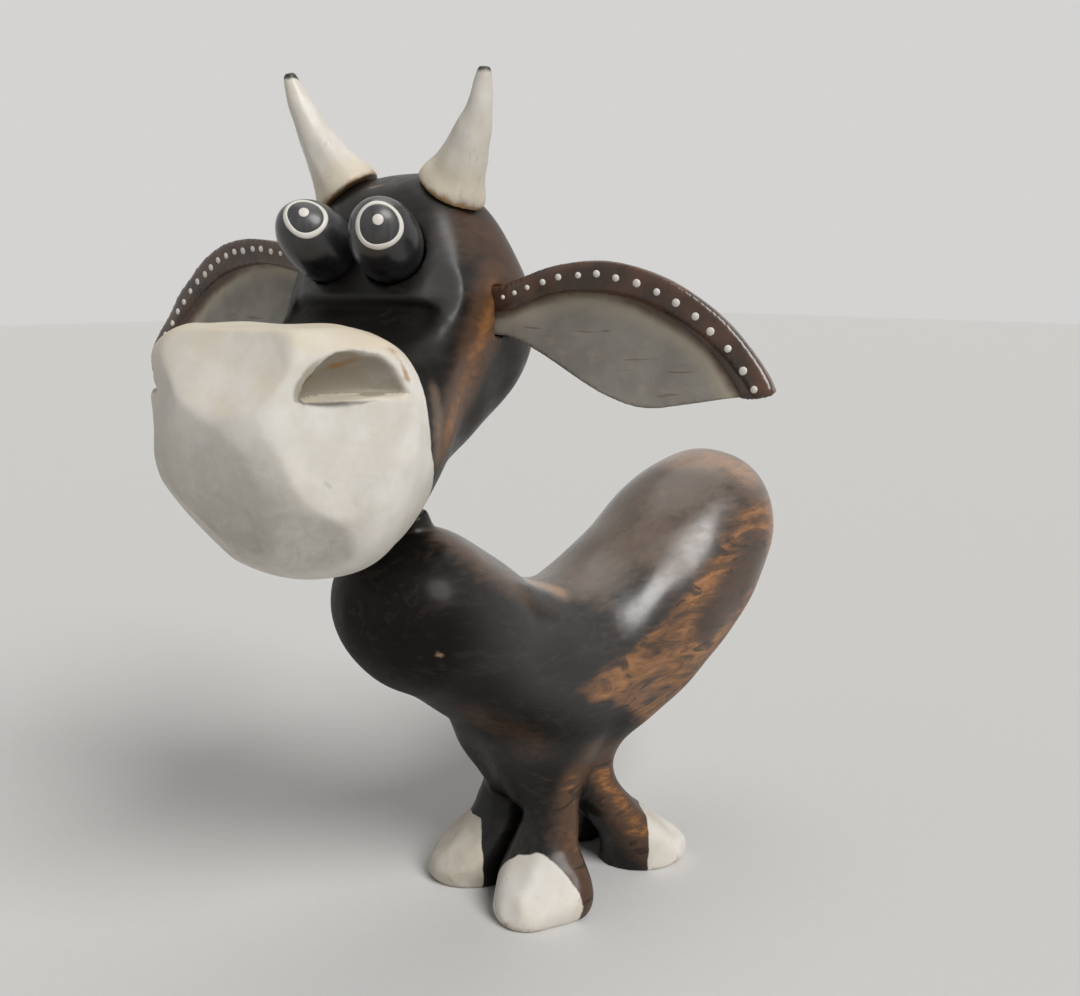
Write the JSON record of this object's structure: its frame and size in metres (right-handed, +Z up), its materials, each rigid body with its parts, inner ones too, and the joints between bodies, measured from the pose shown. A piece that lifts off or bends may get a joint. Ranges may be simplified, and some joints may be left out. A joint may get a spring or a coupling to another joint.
{
  "type": "nodding cow figurine",
  "caption": "Carved wooden cow with a heavy muzzle, round eyes, leaf ears and horns; its head is balanced on a neck pin, so it turns and nods.",
  "frame": {"origin": "on the table, under the middle of the part's outline", "axes": "+Z up, -Y the way the body faces, +X the cow's left"},
  "size_m": [0.1786, 0.2006, 0.2286],
  "materials": {
    "burnt_wood": "satin varnish over burnt wood",
    "cream_paint": "matt cream paint on wood",
    "ear_paint": "satin brown rim, matt pale inner face",
    "black_paint": "satin black paint on wood",
    "bamboo": "plain",
    "steel": "plain"
  },
  "bodies": {
    "torso": {"body": "burnt_wood"},
    "swivel": {"neck_pin": "steel"},
    "rocker": {"pivot_cup": "steel"},
    "head": {"head": "burnt_wood", "left_horn": "cream_paint", "left_horn_dowel": "bamboo", "left_ear": "ear_paint", "left_ear_dowel": "bamboo", "left_eye": "black_paint", "left_eye_dowel": "bamboo", "right_horn": "cream_paint", "right_horn_dowel": "bamboo", "right_ear": "ear_paint", "right_ear_dowel": "bamboo", "right_eye": "black_paint", "right_eye_dowel": "bamboo"}
  },
  "joints": [
    {"name": "head_turn", "type": "hinge", "parent": "torso", "child": "swivel", "pos_m": [0.00771, -0.04816, 0.16803], "axis": [0, -0.2284, 0.9736], "range_deg": [-30, 30]},
    {"name": "head_nod", "type": "hinge", "parent": "swivel", "child": "rocker", "pos_m": [0.00771, -0.04816, 0.16803], "axis": [0.9397, 0.342, 0], "range_deg": [-8, 8]},
    {"name": "head_sway", "type": "hinge", "parent": "rocker", "child": "head", "pos_m": [0.00771, -0.04816, 0.16803], "axis": [0.342, -0.9397, 0], "range_deg": [-5, 5]}
  ]
}
